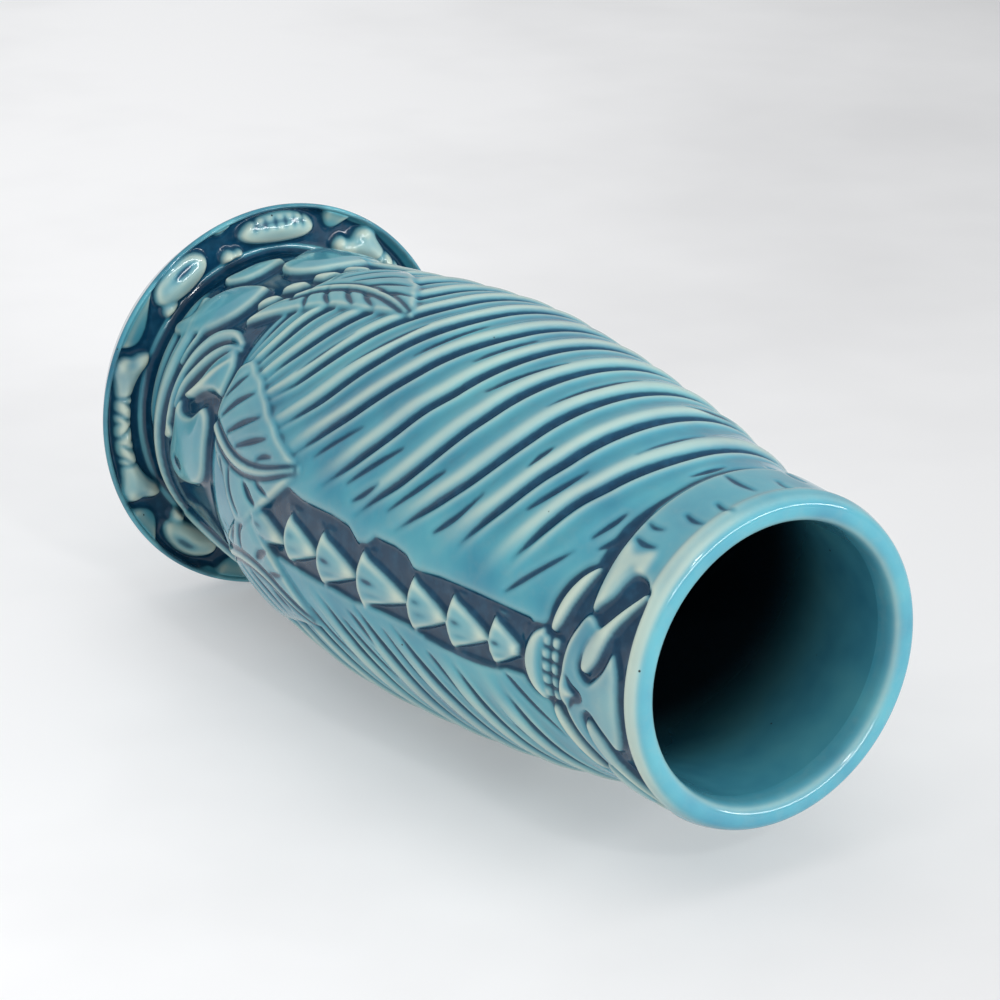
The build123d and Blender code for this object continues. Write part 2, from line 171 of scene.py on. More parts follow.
class Place:
    """A patch of the surface round a centre, with flat millimetre coordinates X sideways and Y up."""

    def __init__(self, angle, height, reach, channel=False, flip=False):
        self.channel = channel
        level = RADIUS if channel else HEIGHT
        side = np.abs(wrap(TURN - angle)) * math.pi / 180 * RADIUS
        mask = (side < reach) & (np.abs(level - height) < reach) & (in_channel if channel else on_wall)
        if channel:
            mask &= ROW > bead_row - 2
        self.rows, self.cols = np.nonzero(mask)
        self.r = RADIUS[self.rows, self.cols]
        self.X = wrap(TURN[self.rows, self.cols] - angle) * math.pi / 180 * self.r
        if flip:
            self.X = -self.X
        self.Y = level[self.rows, self.cols]

    def flat(self, points, about):
        """Turns (angle, height) points, read from the front, into the same millimetre coordinates."""
        out = []
        for angle, y, *rest in points:
            r = y if self.channel else float(spline(WALL, y))
            out.append(((angle - about) * math.pi / 180 * r, y, *rest))
        return out

    def along(self, ax, ay, bx, by):
        """How far along the line a-b each cell lies, 0 to 1, and its distance from the line."""
        ex, ey = bx - ax, by - ay
        wx, wy = self.X - ax, self.Y - ay
        t = np.clip((wx * ex + wy * ey) / (ex * ex + ey * ey + TINY), 0, 1)
        return t, np.hypot(wx - t * ex, wy - t * ey)

    def outline(self, points, about, per=6, round_it=True):
        """Signed distance to a closed outline: negative inside."""
        p = np.array(self.flat(points, about))
        if round_it:
            p = rounded(p, True, per)
        best = np.full(self.X.shape, FAR)
        inside = np.zeros(self.X.shape, bool)
        for (ax, ay), (bx, by) in zip(p, np.roll(p, -1, 0)):
            best = np.minimum(best, self.along(ax, ay, bx, by)[1])
            rise = by - ay if abs(by - ay) > TINY else TINY
            crosses = (ay > self.Y) != (by > self.Y)
            inside ^= crosses & (self.X < (bx - ax) * (self.Y - ay) / rise + ax)
        return np.where(inside, -1, 1) * best

    def stroke(self, points, about, per=5):
        """Distance to a line of (angle, height, half width) points, minus its width there."""
        p = rounded(self.flat(points, about), False, per)
        best = np.full(self.X.shape, FAR)
        for (ax, ay, aw), (bx, by, bw) in zip(p, p[1:]):
            t, away = self.along(ax, ay, bx, by)
            best = np.minimum(best, away - (aw + t * (bw - aw)))
        return best

    def get(self, field):
        return field[self.rows, self.cols]

    def put(self, field, values):
        field[self.rows, self.cols] = values

    def add(self, field, values):
        self.put(field, self.get(field) + values)

    def at_least(self, field, values):
        self.put(field, np.maximum(self.get(field), values))

    def blend(self, field, values, k):
        """Keeps the field where k is 0 and puts the values where k is 1."""
        self.put(field, self.get(field) * (1 - k) + values * k)

    def raise_to(self, distance, top, soft=0.55, pale=0.0):
        """Puts a flat-topped shape of height top on the surface."""
        k = smooth(-distance, -soft * 0.4, soft * 0.6)
        self.blend(RELIEF, top, k)
        self.blend(POOL_AND_SHADE, 0, k)
        self.blend(PALE, pale, k)

    def cut(self, distance, depth, soft=0.5, pool=1.0):
        """Carves a line or shape below what is there."""
        k = smooth(-distance, -soft * 0.5, soft * 0.5)
        self.add(RELIEF, -depth * k)
        self.at_least(POOL_AND_SHADE, pool * k)
        self.blend(PALE, 0, k)


# ---- carved strands
# Each groove: (angle from the front, height) from its tip to the middle of the back
GROOVES = [
    [(24, 131.2), (30, 133), (40, 135.3), (50, 137.3), (60, 139.5), (90, 142.9), (180, 139.5)],
    [(20.5, 119.3), (30, 122.8), (40, 126), (50, 128.2), (60, 130), (90, 132), (180, 128.5)],
    [(16, 103.8), (22, 107.6), (30, 112.2), (40, 116.5), (50, 119), (60, 120.5), (90, 122.5), (180, 119)],
    [(15, 93.2), (22, 97.4), (30, 102), (40, 105.8), (50, 108.2), (60, 110), (90, 112.3), (180, 109)],
    [(18, 82.5), (24, 86.6), (30, 90), (40, 94.4), (50, 97.2), (60, 99.9), (90, 102.8), (180, 99.5)],
    [(22, 72), (30, 77.5), (40, 83), (50, 86.7), (60, 89.5), (90, 94.2), (180, 91)],
    [(27, 64.5), (32, 68.6), (40, 73.6), (50, 77.2), (60, 80), (90, 85), (180, 82)],
    [(34, 58.5), (40, 63), (50, 67.3), (60, 70.4), (90, 77), (180, 74.5)],
    [(38, 52.8), (50, 58), (65, 62.3), (90, 69), (180, 67)],
    [(40, 46.5), (50, 49.3), (60, 51), (90, 60), (180, 59)],
    [(40, 41), (50, 42.3), (57, 42.6), (90, 50), (180, 50)],
]

from_front = np.where(TURN < 0, -TURN, TURN + 5.0 * (1 - smooth(TURN, 30, 100)))
front_fade = smooth(from_front, 13.0, 36.0)
lines = []
for groove in GROOVES:
    tip = groove[0][0]
    height = spline(groove, from_front)
    slope_in = (groove[1][1] - groove[0][1]) / (groove[1][0] - groove[0][0])
    height = np.where(from_front < tip, groove[0][1] + slope_in * (from_front - tip), height)
    lines.append(height - 0.8 - 0.5 * smooth(from_front, 50, 95) - 2.6 * smooth(from_front, 92, 150))
top_line = lines[0] + 10.5
strand = np.zeros_like(RELIEF)
pale_strand = np.zeros_like(RELIEF)
pool_strand = np.zeros_like(RELIEF)
uppers = [top_line] + lines
lowers = lines + [lines[-1] - 8.0]
for number, (upper, lower) in enumerate(zip(uppers, lowers)):
    gap = np.maximum(upper - lower, 3.0)
    below = upper - HEIGHT
    inside = (below >= 0) & (HEIGHT > lower)
    size = np.clip(gap / 9.5, 0.55, 1.1)
    crest = bell(below, 2.6 * size, 1.9 * size)
    crest_pale = bell(below, 2.2 * size, 1.15 * size)
    edge = bell(gap - below, 1.5, 0.75)
    if number == 0:  # the topmost strand has no crest
        crest = crest_pale = crest * 0.0
    strand = np.where(inside, CREST * crest + 0.36 * edge, strand)
    pale_strand = np.where(inside, 0.55 * crest_pale + 0.34 * edge, pale_strand)
    trough = bell(gap - below, 3.6 * size, 1.6 * size)
    pool_strand = np.where(inside, 0.3 * trough * (1 - crest), pool_strand)
body_zone = smooth(HEIGHT, 38.0, 44.0) * (1 - smooth(HEIGHT, 144.0, 149.0)) * on_wall
RELIEF += strand * front_fade * body_zone
PALE += pale_strand * front_fade * body_zone
POOL_AND_SHADE += pool_strand * front_fade * body_zone
for groove, height in zip(GROOVES, lines):
    tip = groove[0][0]
    swell = 0.85 + 0.15 * np.cos(np.radians(TURN * 5))
    half = GROOVE_HALF * smooth(from_front, tip - 2.0, tip + 16.0) * swell
    slope = np.gradient(height, axis=1) / (RADIUS * math.radians(360.0 / COLS))
    distance = np.abs(HEIGHT - height) / np.sqrt(1 + slope**2)
    k = smooth(half + 0.35 - distance, 0.0, 0.75) * smooth(from_front, tip - 0.6, tip + 1.2) * body_zone
    RELIEF -= GROOVE_DEPTH * k
    POOL_AND_SHADE = np.maximum(POOL_AND_SHADE, k)
    PALE *= 1 - k

# Short strokes between the long grooves: (angle, height, half width)
STROKES = [
    [(-93, 147.2, 0.2), (-87, 147.2, 0.5), (-80, 146.8, 0.2)],
    [(-55, 145.3, 0.2), (-50, 144.6, 0.55), (-42, 142.8, 0.2)],
    [(-50, 148.2, 0.3), (-45, 147.2, 0.6), (-40, 145.3, 0.2)],
    [(-36, 141.2, 0.1), (-30, 138.6, 0.35), (-20, 133.8, 0.4), (-14.5, 131, 0.15)],
    [(-100, 136.9, 0.1), (-88, 137.1, 0.35), (-74, 136.7, 0.1)],
    [(-60, 133.6, 0.1), (-50, 131.8, 0.5), (-40, 129, 0.15)],
    [(-60, 124.7, 0.2), (-56, 124.2, 0.5), (-51, 123.8, 0.2)],
    [(-38, 119.4, 0.1), (-30, 117, 0.45), (-25, 114.6, 0.5), (-20.8, 112.2, 0.15)],
    [(-102, 116.4, 0.2), (-90, 117.1, 0.55), (-80, 116.8, 0.5), (-70, 116.2, 0.1)],
    [(-88, 107.2, 0.2), (-80, 106.4, 0.5), (-72, 105.1, 0.5), (-64, 103.8, 0.15)],
    [(-38, 109.2, 0.2), (-30, 105.4, 0.45), (-20.5, 100.2, 0.15)],
    [(-26.5, 96.4, 0.15), (-22, 93.6, 0.5), (-18.3, 90.8, 0.15)],
    [(-38, 97.6, 0.15), (-30, 92.9, 0.45), (-22, 88.2, 0.15)],
    [(-90, 96.4, 0.15), (-80, 95.9, 0.45), (-70, 95.1, 0.15)],
    [(-38, 86.3, 0.1), (-30, 81, 0.35), (-24, 77.2, 0.1)],
    [(-73, 78.6, 0.2), (-65, 77, 0.5), (-58, 75, 0.4), (-50, 72, 0.1)],
    [(-84, 86.6, 0.15), (-72, 85.4, 0.4), (-62, 84, 0.1)],
    [(-60, 66.6, 0.1), (-50, 63.4, 0.4), (-43, 60.6, 0.1)],
    [(-128, 126, 0.15), (-116, 127, 0.45), (-106, 126.6, 0.15)],
    [(-150, 104, 0.15), (-138, 105.2, 0.5), (-124, 106.2, 0.15)],
    [(-168, 113.6, 0.15), (-156, 114.4, 0.5), (-144, 115.3, 0.15)],
    [(-140, 86.4, 0.15), (-128, 87.8, 0.5), (-114, 89.2, 0.15)],
    [(-176, 95, 0.15), (-166, 95.2, 0.5), (-154, 96.4, 0.15)],
    [(-160, 134, 0.15), (-148, 135, 0.45), (-134, 136.4, 0.15)],
    [(-132, 146.4, 0.2), (-122, 147, 0.45), (-112, 147.2, 0.2)],
]
for number, points in enumerate(STROKES):
    middle = sum(p[0] for p in points) / len(points)
    high = sum(p[1] for p in points) / len(points)
    for flip in (False, True):
        shift = 1.2 * math.sin(number * 2.3) - 5.0
        place = Place(-middle + shift if flip else middle, high, 17.0, flip=flip)
        place.cut(place.stroke(points, middle), 0.5, 0.45, 0.92)

# ---- front panel and its pointed teeth
PANEL = [(-10.2, 137.5), (-10.6, 126), (-10.2, 116), (-9.2, 111.5), (-9, 109.4), (-11.8, 107.2),
         (-12.6, 104), (-12.4, 98.6), (-9.4, 96.8), (-8.6, 94.2), (-11.8, 91.2), (-12.4, 86), (-12, 77),
         (-13, 72), (-7, 66), (2, 58), (9, 60), (8.8, 75), (9, 84), (8.6, 86.4), (9.6, 93), (8.4, 97),
         (8.8, 108), (10, 111), (10.6, 118), (10.4, 128), (9.6, 137.5)]
front = Place(0, 100, 55)
panel = front.outline(PANEL, 0, round_it=False)
front.cut(panel, 0.85, 0.6, 1.0)

# (base height, tip height, half width, sideways shift), in millimetres
TEETH = [(60.6, 73, 4.6, 1.6), (73.4, 83.8, 5, 0.2), (83.9, 95.3, 5.4, 0.5), (95.4, 109.4, 5.5, 0.6),
         (109.2, 119.4, 5.5, 0.7), (119.2, 129.4, 5.4, 0.7), (129.2, 136.6, 5, 0.8)]
for number, (base, tip, half, shift) in enumerate(TEETH):
    v = (front.Y - base) / (tip - base)
    x = front.X - shift
    sag = 0.8 * (1 - np.clip(np.abs(x) / half, 0, 1) ** 1.5)
    taper = np.clip(1 - v, 0, 1.15)
    width = half * (0.86 * taper**0.88 + 0.14 * smooth(taper, 0.8, 1.0)) + 0.25
    distance = np.maximum(np.abs(x) - width, -(front.Y - base + sag - 0.8))
    distance = np.maximum(distance, front.Y - tip)
    u = np.clip(np.abs(x) / np.maximum(width, 0.3), 0, 1)
    facet = 1.25 - 0.35 * np.clip(v, 0, 1) - 0.75 * np.clip((u - 0.3) / 0.7, 0, 1)
    wobble = 0.5 * math.sin(number * 1.9)
    nick = bell(x + wobble, -0.7, 0.42) * bell(v, 0.24, 0.17)
    nick += 0.8 * bell(x + 1.5 * v + wobble, 2.0, 0.42) * bell(v, 0.36, 0.22)
    facet = facet - 0.3 * nick
    k = smooth(-distance, -0.2, 0.35)
    front.blend(RELIEF, facet, k)
    streaks = 0.75 + 0.25 * np.cos(x * 4.2 + number)
    centre = 0.42 * bell(u, 0.0, 0.4) * smooth(-v, -0.75, -0.3) * streaks
    front.blend(POOL_AND_SHADE, 0.6 * nick + centre, k)
    edge = smooth(u, 0.55, 0.95) + smooth(-v, -0.12, -0.02) + 0.9 * smooth(v, 0.55, 0.95)
    front.blend(PALE, np.clip(0.08 + 0.6 * edge, 0, 1), k)
    # a pale ramp in the dark corner on each side of a tooth
    for side, size in ((-1, 1.0), (1, 0.7)):
        ramp = np.maximum(np.abs(x - side * 5.0) * 1.5, np.abs(front.Y - base - 1.5) * 0.5) - 1.4 * size
        r = smooth(-ramp, -0.6, 1.2) * smooth(distance, 0.1, 0.9) * 0.75
        front.add(RELIEF, 0.4 * r)
        front.put(POOL_AND_SHADE, front.get(POOL_AND_SHADE) * (1 - 0.7 * r))
right_edge = front.stroke([(10.9, 131, 0.2), (11.4, 124, 0.45), (10.9, 112, 0.2)], 0)
front.cut(right_edge, 0.3, 0.4, 0.9)

# ---- head band and mask
band = smooth(HEIGHT, BAND_LOW, BAND_LOW + 0.7) * on_wall * (1 - smooth(HEIGHT, 161.0, 163.0))
RELIEF = RELIEF * (1 - band) + BAND_HEIGHT * band
POOL_AND_SHADE *= 1 - band
PALE = PALE * (1 - band) + 0.12 * band
thick = 0.55 + 0.85 * smooth(-from_front, -72, -48)
under = np.exp(-(((HEIGHT - 149.5 + thick) / thick) ** 4)) * on_wall
POOL_AND_SHADE = np.maximum(POOL_AND_SHADE, (0.55 + 0.4 * smooth(-from_front, -75, -50)) * under)
RELIEF -= 0.25 * under
PALE = np.maximum(PALE, 0.5 * bell(HEIGHT, 150.6, 0.35) * on_wall)
on_lip = (ROW > wall_row) & (HEIGHT > 161.2)
lip_front = 0.35 + 0.65 * smooth(-np.abs(wrap(TURN + 15)), -75, -35)
lip_edge = smooth(HEIGHT, 161.2, 161.9) * smooth(RADIUS, 27.0, 27.6) * lip_front
lip_inner = 0.55 * bell(RADIUS, 24.1, 0.35) * smooth(HEIGHT, 163.2, 164.0)
PALE = np.where(on_lip, np.clip(0.06 + 0.9 * lip_edge + lip_inner, 0, 1), PALE)

head = Place(MASK_TURN, 150, 34)
RECESS = [(-30, 161.9), (-36, 160.6), (-39, 158.6), (-38.6, 156.2), (-35, 155), (-30, 154), (-25, 152),
          (-22, 150.2), (-33, 149.8), (-46, 149.7), (-58, 149.4), (-62, 148.6), (-54, 147.9), (-44, 147.8),
          (-37, 147.2), (-33.5, 145.2), (-27, 142.9), (-19, 141.3), (-11, 140.7), (-9.6, 137.8), (-6, 136),
          (3, 135.6), (10, 136), (15, 138.2), (17.2, 141.2), (25, 141.4), (33, 143), (40, 145.6),
          (44, 147.4), (50, 147.8), (60, 148), (66, 148.6), (60, 149.4), (48, 149.8), (36, 150.2),
          (38, 152.4), (44, 154.4), (52, 156), (53, 158.6), (50, 160.8), (44, 161.9)]
recess = head.outline(RECESS, MASK_TURN, per=4)
head.raise_to(recess, -0.55, 0.7)
head.at_least(POOL_AND_SHADE, smooth(-recess, -0.2, 0.5))

MASK = [(-20.6, 150.3), (-14, 147.9), (-8, 146.5), (0, 145.5), (8, 145.1), (16, 145.6), (24, 147.2),
        (31, 149.8), (35.5, 152.4), (32, 154.4), (27.5, 156), (24, 157.6), (20, 159), (14, 159.9),
        (7, 160.1), (0, 159.9), (-6, 159.5), (-11.5, 158), (-14, 156.6), (-17.5, 153.8)]
mask = head.outline(MASK, MASK_TURN)
head.raise_to(mask, 0.75, 0.7, 0.05)
dome = bell(head.X, 2.0, 6.5) * bell(head.Y, 156.5, 3.6)
head.add(RELIEF, 0.55 * dome * smooth(-mask, 0, 1.5))
head.add(PALE, 0.3 * dome * smooth(-mask, 0, 1.0))
chin = bell(mask, -0.7, 0.5) * smooth(-head.Y, -150.5, -148.0)
head.at_least(PALE, 0.8 * chin)


def across(points, side):
    """The points on the left side of the mask, mirrored about its middle line for the right side."""
    return points if side < 0 else [(2 * MASK_MIDDLE - angle, *rest) for angle, *rest in points]


# Sockets, then eyes that run out into the brows
SOCKET = [(-2.6, 151.9, 2.2), (-8, 153.6, 2.9), (-13, 154.9, 2.7)]
EYE = [(-3.8, 151.7, 1.2), (-8.5, 152.8, 1.9), (-14, 154.1, 1.75), (-20, 155.8, 1.1), (-27, 158.2, 0.8),
       (-34, 160.8, 0.6)]
for side in (-1, 1):
    socket = head.stroke(across(SOCKET, side), MASK_TURN)
    head.raise_to(socket, -0.25, 0.7)
    head.at_least(POOL_AND_SHADE, smooth(-socket, -0.2, 0.5))
    eye = head.stroke(across(EYE, side), MASK_TURN)
    head.raise_to(eye, 0.95, 0.6, 0.5 if side < 0 else 0.3)
    head.add(RELIEF, 0.45 * smooth(-eye, 0.2, 1.8))

CHEEKS = [
    [(-34.6, 148.3, 0.5), (-29, 146.6, 1.15), (-22, 144.9, 1.35), (-15, 143.7, 1.2), (-11, 143, 0.75)],
    [(41, 148.6, 0.5), (35, 146.7, 1.15), (28, 144.9, 1.35), (22, 143.6, 1.2), (17.6, 142.9, 0.8)],
]
for points in CHEEKS:
    cheek = head.stroke(points, MASK_TURN)
    head.raise_to(cheek, 0.8, 0.6, 0.55)
    head.add(RELIEF, 0.3 * smooth(-cheek, 0.1, 1.2))

NOSE_LINE = [(2.6, 146.9, 0.25), (5.4, 147.9, 0.5), (8.2, 149.9, 0.85), (11, 148, 0.5), (14.6, 146.6, 0.25)]
NOSE = [(2.8, 145.7), (6.2, 146.6), (8.2, 149), (10.4, 146.6), (14, 145.6), (8.4, 145.1)]
nose = head.outline(NOSE, MASK_TURN, round_it=False)
head.cut(head.stroke(NOSE_LINE, MASK_TURN), 0.5, 0.5, 0.95)
head.raise_to(nose, 1.35, 0.7, 0.45)

for place_in_row in range(-2, 3):
    for level in (143.65, 141.5):
        angle = MOUTH_MIDDLE + place_in_row * TOOTH_PITCH
        x = (angle - MASK_TURN) * math.pi / 180 * 28.2
        bend = 0.02 * place_in_row**2
        d = np.maximum(np.abs(head.X - x) - 0.95, np.abs(head.Y - level - bend) - 0.88)
        head.raise_to(d, 0.55, 0.5, 0.3)
LOWER_LIP = [(-8.6, 140.8, 0.5), (-4.5, 139, 1), (3.4, 138.1, 1.35), (10.5, 138.8, 1), (14.8, 140.8, 0.5)]
MOUTH = [(-8, 141), (-3, 139.2), (3.2, 138.6), (9.5, 139), (14, 140.8), (3, 140.6)]
lip_line = head.stroke(LOWER_LIP, MASK_TURN)
head.raise_to(head.outline(MOUTH, MASK_TURN), 0.1, 0.5, 0.1)
head.raise_to(lip_line, 0.75, 0.6, 0.5)

# Short ticks on the band: (angle, low, high, half width)
TICKS = [(-49, 151.4, 156.4, 0.5), (-55.5, 151.2, 155, 0.45), (-64, 156, 160.4, 0.45),
         (-73.5, 158, 162, 0.45), (-87, 151.4, 158.8, 0.5), (-99, 157, 161, 0.35), (-112, 151.6, 156, 0.4),
         (-124, 156, 160.6, 0.4), (-137, 152, 157.6, 0.45), (-150, 156.4, 160.8, 0.4),
         (-163, 151.6, 156.2, 0.4), (-174, 156, 160.6, 0.4)]
for angle, low, high, half in TICKS:
    for flip in (False, True):
        place = Place(-angle + 8 if flip else angle, (low + high) / 2, 6, flip=flip)
        line = place.stroke([(0, low, half * 0.7), (0.8, (low + high) / 2, half), (0, high, half * 0.5)], 0)
        place.cut(line, 0.35, 1.1, 0.7)
EAR = [(-47.5, 157.4), (-42, 158), (-38.8, 157), (-40, 155), (-35, 153.8), (-29, 152.6), (-26, 151.6),
       (-36, 151.4), (-46, 151.3), (-44.5, 154)]
for side in (-1, 1):
    ear = head.outline(across(EAR, side), MASK_TURN)
    k = smooth(-ear, -1.2, 1.0)
    head.add(RELIEF, 0.3 * k)
    head.at_least(PALE, 0.8 * k * (1 - head.get(POOL_AND_SHADE)))

# ---- leaves, petals and the bird round the neck
neck = on_wall * smooth(HEIGHT, 5.2, 5.9) * (1 - smooth(HEIGHT, 37.0, 41.5))
RELIEF = RELIEF * (1 - neck) - 0.55 * neck
POOL_AND_SHADE = np.maximum(POOL_AND_SHADE * (1 - neck), 0.95 * neck)
PALE *= 1 - neck

foot_band = smooth(HEIGHT, 7.4, 8.8) * (1 - smooth(HEIGHT, 10.2, 11.4)) * on_wall
foot_turn = smooth(-np.abs(wrap(TURN + 28)), -38, -20)
foot_band = foot_band * foot_turn
RELIEF = RELIEF * (1 - foot_band) + 0.3 * foot_band
POOL_AND_SHADE = POOL_AND_SHADE * (1 - foot_band * foot_turn)
PALE = np.maximum(PALE, 0.4 * bell(HEIGHT, 8.9, 0.5) * on_wall * foot_turn)

LEAF_FRONT = [(-19.4, 75.2), (-21.6, 71.2), (-24.4, 65.6), (-27, 62.6), (-28.8, 59.6), (-31.6, 57),
              (-33.6, 54.2), (-36.4, 51.6), (-37.6, 48.4), (-40.2, 44.6), (-37, 41), (-31, 40.4),
              (-24, 39.6), (-16, 40.2), (-9.4, 42.4), (-4.6, 45.6), (-0.6, 48), (6.2, 52.2), (5.6, 56.6),
              (2.4, 59.4), (-2.6, 63.6), (-8.6, 68.6), (-14.6, 72.6)]
LEAF_FRONT_RIB = [(-18.6, 73.6, 0.3), (-14.2, 66, 0.6), (-12, 60, 0.75), (-11.4, 54, 0.85),
                  (-12.8, 48, 0.9), (-16.6, 41, 1)]
LEAF_FRONT_VEINS = [
    [(-22.4, 62.4, 0.2), (-19.4, 57.6, 0.6), (-15.6, 52, 0.25)],
    [(-26.6, 57.6, 0.2), (-22.4, 52, 0.6), (-17.6, 47, 0.25)],
    [(-31.8, 52.2, 0.2), (-27, 47, 0.6), (-21, 42.8, 0.25)],
    [(-35.4, 46.4, 0.2), (-31, 43.6, 0.5), (-26.4, 41, 0.25)],
    [(-18.8, 66.4, 0.15), (-17.6, 63.4, 0.45), (-15.6, 60.6, 0.15)],
    [(-7.6, 66.8, 0.15), (-8.8, 64.2, 0.5), (-9.4, 62, 0.15)],
    [(-3.2, 61.6, 0.4), (-5.2, 59.4, 0.85), (-7.4, 57.4, 0.3)],
    [(3.2, 54.8, 0.2), (-1.6, 51.4, 0.55), (-8.2, 50.4, 0.3)],
    [(0.6, 48.6, 0.2), (-4, 47.2, 0.5), (-8.8, 45.6, 0.3)],
]
LEAF_SIDE = [(-73, 73), (-71.4, 68.6), (-68.4, 60), (-66.2, 52), (-62.4, 45), (-56.4, 37.6), (-49.8, 31.2),
             (-54.6, 32), (-61.4, 34.4), (-68, 37.6), (-76, 38.8), (-84, 37.6), (-90, 40), (-96.4, 44.6),
             (-96, 50), (-93, 54.4), (-90, 57), (-87.8, 61), (-83.6, 64.6), (-79.6, 68.4), (-76.4, 71)]
LEAF_SIDE_RIB = [(-73.6, 71, 0.3), (-75.6, 64, 0.6), (-76.6, 57, 0.75), (-75.8, 50, 0.85), (-72, 43, 0.9),
                 (-66, 38.4, 0.8)]
LEAF_SIDE_VEINS = [
    [(-70.6, 63, 0.15), (-72.6, 58.6, 0.45), (-75, 55.4, 0.2)],
    [(-69, 57, 0.2), (-71.4, 53, 0.5), (-74.6, 49.6, 0.2)],
    [(-66.4, 50.6, 0.2), (-68.8, 47.2, 0.5), (-72.4, 44.6, 0.2)],
    [(-62.6, 44.6, 0.2), (-65.6, 42.4, 0.45), (-69, 41.2, 0.2)],
    [(-80.4, 66, 0.2), (-79, 62, 0.5), (-77.6, 58.4, 0.2)],
    [(-84.8, 61, 0.2), (-82, 56.4, 0.55), (-78.4, 52.2, 0.2)],
    [(-89.4, 55, 0.2), (-85, 50.8, 0.55), (-79, 47, 0.2)],
    [(-93, 49, 0.2), (-87.4, 45.4, 0.5), (-79.6, 42.6, 0.2)],
]


def leaf(outline, rib, veins, about, at, flip=False, rise=0.0):
    """A pressed leaf: raised blade with a pale rim, a midrib between two dark lines, and cut veins."""
    high = sum(p[1] for p in outline) / len(outline)
    place = Place(at, high, 26.0, flip=flip)
    place.Y = place.Y - rise
    d = place.outline(outline, about, per=5)
    place.cut(d - 0.3, 0.25, 1.1, 0.6)
    place.raise_to(d, 0.85, 0.6, 0.12)
    place.add(RELIEF, 0.3 * smooth(-d, 0.3, 3.5))
    rim = bell(d, -0.75, 0.5)
    place.at_least(PALE, 0.55 * rim)
    within = smooth(-d, -0.1, 0.5)
    r = place.stroke(rib, about)
    near = smooth(-(np.abs(r - 0.35) - 0.45), -0.25, 0.25) * within
    place.add(RELIEF, -0.45 * near)
    place.at_least(POOL_AND_SHADE, 0.85 * near)
    top = smooth(-r, -0.1, 0.4) * within
    place.add(RELIEF, 0.3 * top)
    place.put(PALE, np.maximum(place.get(PALE) * (1 - near), 0.5 * top))
    for vein in veins:
        v = place.stroke(vein, about)
        k = smooth(-v, -0.3, 0.3) * within
        place.add(RELIEF, -0.55 * k)
        place.at_least(POOL_AND_SHADE, 0.95 * k)
        place.blend(PALE, 0, k)


def lump(outline, about, at, top=0.9, dome=0.7, flip=False, pale=0.05, per=6, reach=18.0):
    """A smooth rounded raised shape."""
    high = sum(p[1] for p in outline) / len(outline)
    place = Place(at, high, reach, flip=flip)
    d = place.outline(outline, about, per=per)
    place.raise_to(d, top, 0.7, pale)
    place.add(RELIEF, dome * np.sqrt(np.clip(-d, 0, 4.0) / 4.0))
    rim = bell(d, -0.6, 0.4)
    place.at_least(PALE, 0.4 * rim)
    return place


def ridge(points, middle, top, pale):
    """A thin raised ridge."""
    high = sum(p[1] for p in points) / len(points)
    place = Place(middle, high, 34.0)
    d = place.stroke(points, middle)
    k = smooth(-d, -0.5, 0.35)
    place.at_least(RELIEF, place.get(RELIEF) * (1 - k) + top * k)
    place.blend(POOL_AND_SHADE, 0, k)
    place.put(PALE, np.maximum(place.get(PALE) * (1 - k), pale * smooth(-d, -0.1, 0.4)))


PETAL = [(-66.6, 26.2), (-62, 27.6), (-57.4, 27.9), (-51, 26.6), (-44, 22.6), (-39, 17.2), (-36, 10.6),
         (-40, 9), (-46.6, 12.4), (-53.6, 13.4), (-60, 16), (-64.6, 20.4)]
SMALL_PETAL = [(-85, 15), (-79, 17.2), (-72, 18), (-66.2, 16.8), (-62, 13), (-63.6, 10.6), (-70, 11.6),
               (-78, 12.4)]
BIG_BODY = [(-76, 24), (-78.4, 20), (-84, 18.6), (-92, 15), (-100, 11.4), (-108, 10), (-116, 13),
            (-118, 19), (-113, 26), (-103, 30.6), (-92, 32.8), (-83, 31.6), (-78, 28.4)]
HEAD = [(-19.3, 32.9), (-16.5, 30.7), (-13.9, 28.5), (-13, 25.7), (-13.8, 23.7), (-17.2, 22.5),
        (-13.7, 21.3), (-9, 21.5), (-4.2, 21.2), (0.6, 20.2), (6.2, 19.7), (10.3, 21), (11.9, 23.8),
        (10.7, 27.8), (8.1, 32), (4.4, 35.4), (-0.3, 37), (-7.1, 37.2), (-13.6, 36.8), (-17.7, 35.4)]
HORN = [(-40.6, 35.4), (-36.4, 31.6), (-31, 29.4), (-24.6, 27.4), (-18.6, 23.6), (-19.6, 27), (-23.4, 30.6),
        (-25.4, 34.6), (-25.6, 38.6), (-31, 39), (-36.6, 38.4)]
HORN_CREST = [(-36.5, 36.6, 0.4), (-31, 33, 0.8), (-25.6, 29.8, 0.7), (-19.6, 24.8, 0.3)]
BIRD_EYE = [(3.9, 24.4, 1.2), (4.6, 25.4, 1.2)]
CREST_TIP = [(-6, 18.6), (-2.8, 20.6), (0.2, 17.4), (-2.4, 16.8)]
RIDGES = [
    [(-52, 12, 1.2), (-45, 14.2, 2), (-36, 14.8, 2.2), (-24, 14, 1.9), (-10, 13, 1.5), (6, 12, 1.1),
     (22, 11, 0.8), (38, 10, 0.6)],
    [(-43.4, 36, 0.5), (-45, 31, 1.1), (-42, 25.8, 1.4), (-35.5, 22.4, 1.3), (-28, 20.4, 1.1),
     (-18.5, 19, 1), (-10, 18.4, 0.8), (-4, 17.6, 0.4)],
    [(-41.4, 36.8, 0.3), (-40.2, 32, 0.9), (-35.6, 28, 1.1), (-29, 24.6, 1), (-22, 21.8, 0.9),
     (-13.5, 20.4, 0.5)],
    [(-49, 24, 0.3), (-44, 20.2, 0.6), (-36, 18.4, 0.6), (-28, 17.2, 0.3)],
]
BUDS = [
    [(-84.5, 37.6), (-81, 34), (-76.6, 33.6), (-78, 36.6)],
    [(-74.4, 35.4), (-71.4, 32), (-66, 31.6), (-69.4, 35)],
    [(-64.8, 33.6), (-62, 30.6), (-56.6, 30.2), (-60, 33.4)],
    [(-93, 40), (-91, 36), (-86.6, 35), (-88, 38.4)],
]

